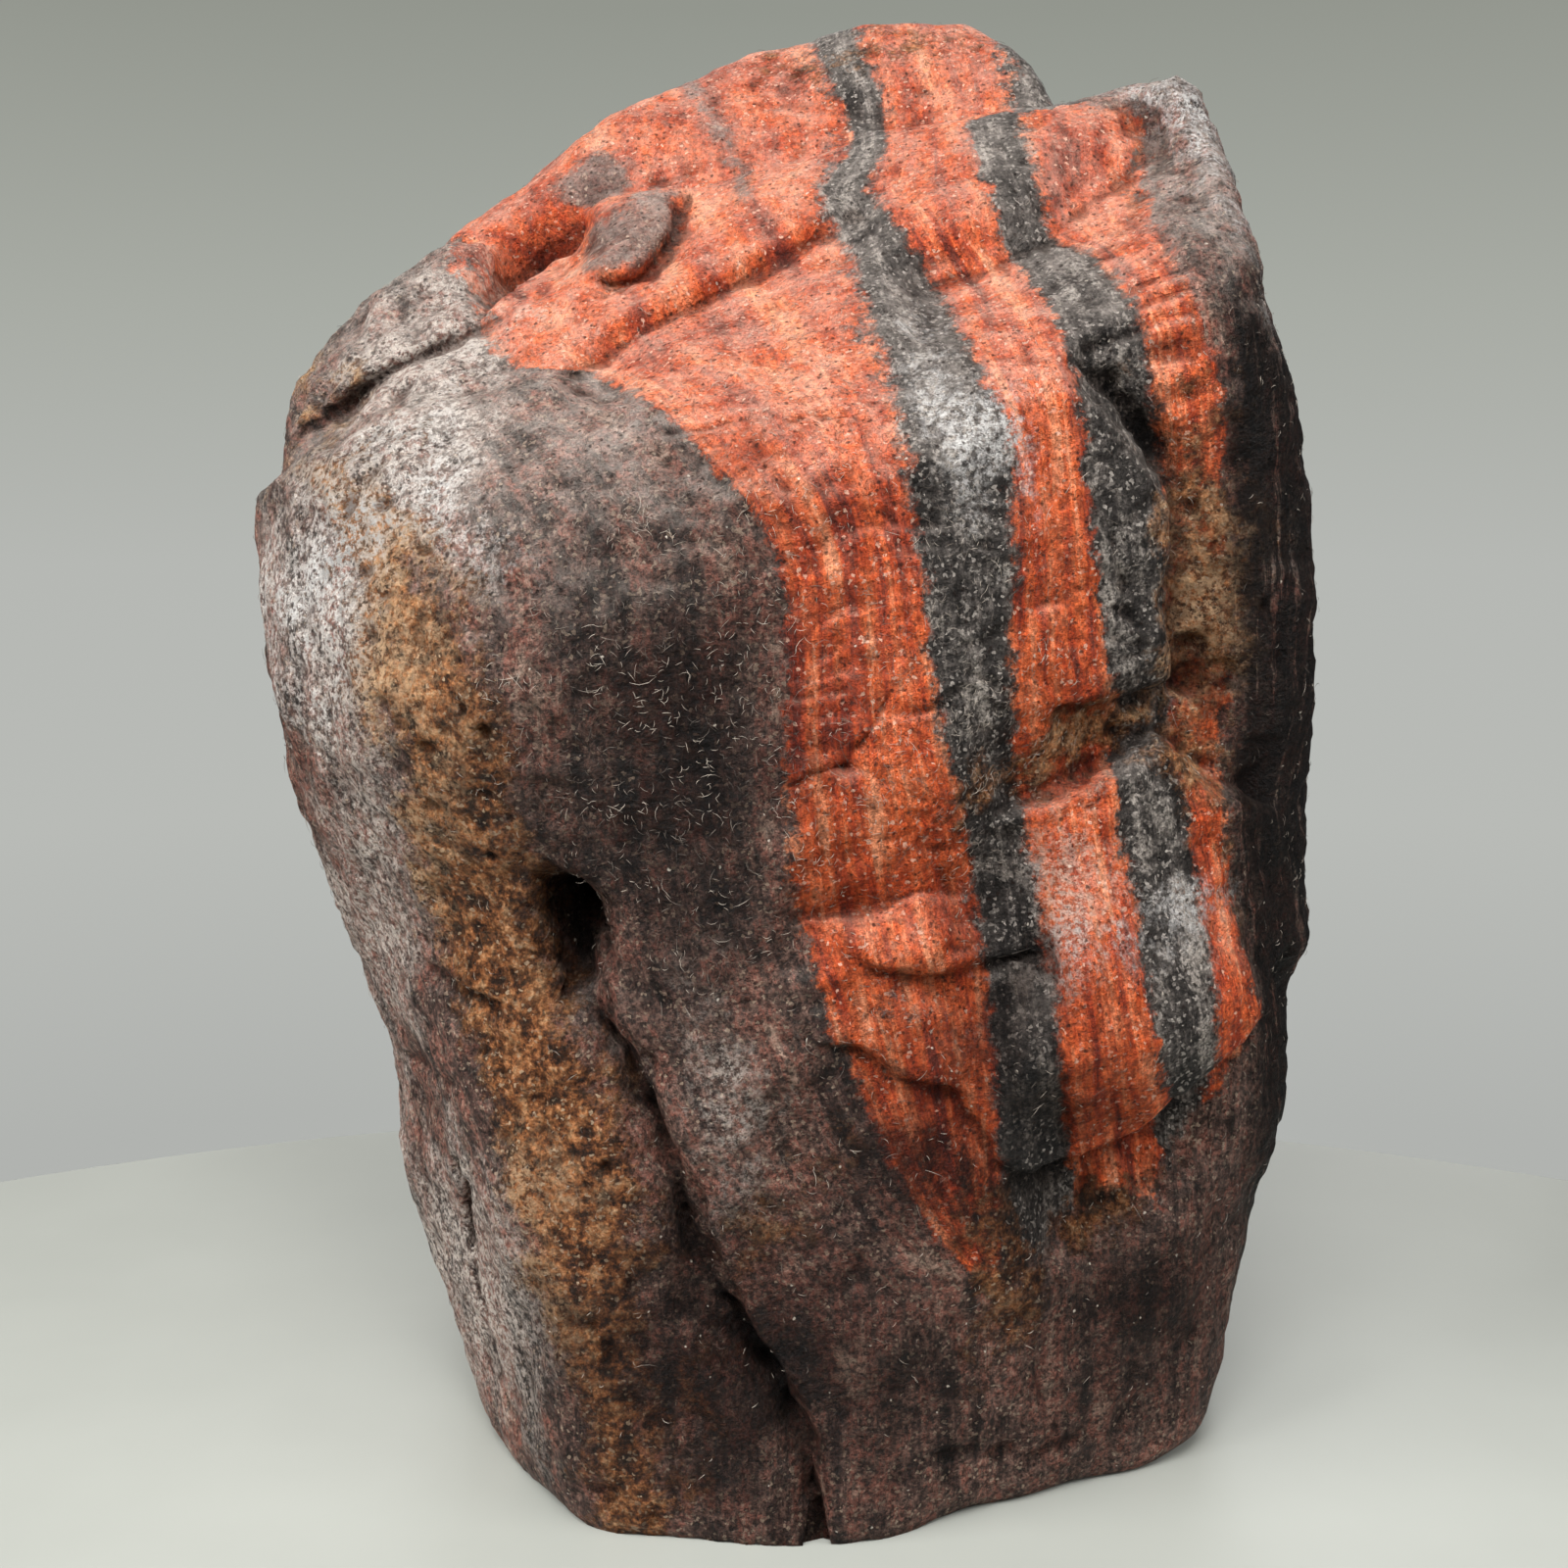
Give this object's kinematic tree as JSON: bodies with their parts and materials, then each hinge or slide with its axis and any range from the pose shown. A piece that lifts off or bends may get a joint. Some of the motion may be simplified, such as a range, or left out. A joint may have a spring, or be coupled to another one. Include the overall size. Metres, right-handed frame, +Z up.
{
  "type": "banded ironstone",
  "caption": "Hand-sized block of banded ironstone with flat broken faces, a stepped slanting top, chipped ledges and a small flat foot to stand on.",
  "frame": {"origin": "on the ground under the middle of the stone's bounding box, at the level of its flat foot", "axes": "+Z up along the longest extent, from the foot to the top; +X to the right and +Y away from the side that shows the bands best"},
  "size_m": [0.0738, 0.0598, 0.1009],
  "materials": {
    "ironstone": "broken rock, bands of red jasper and steel-grey hematite with an ochre crust"
  },
  "bodies": {
    "root": {"ironstone": "ironstone"}
  },
  "joints": []
}
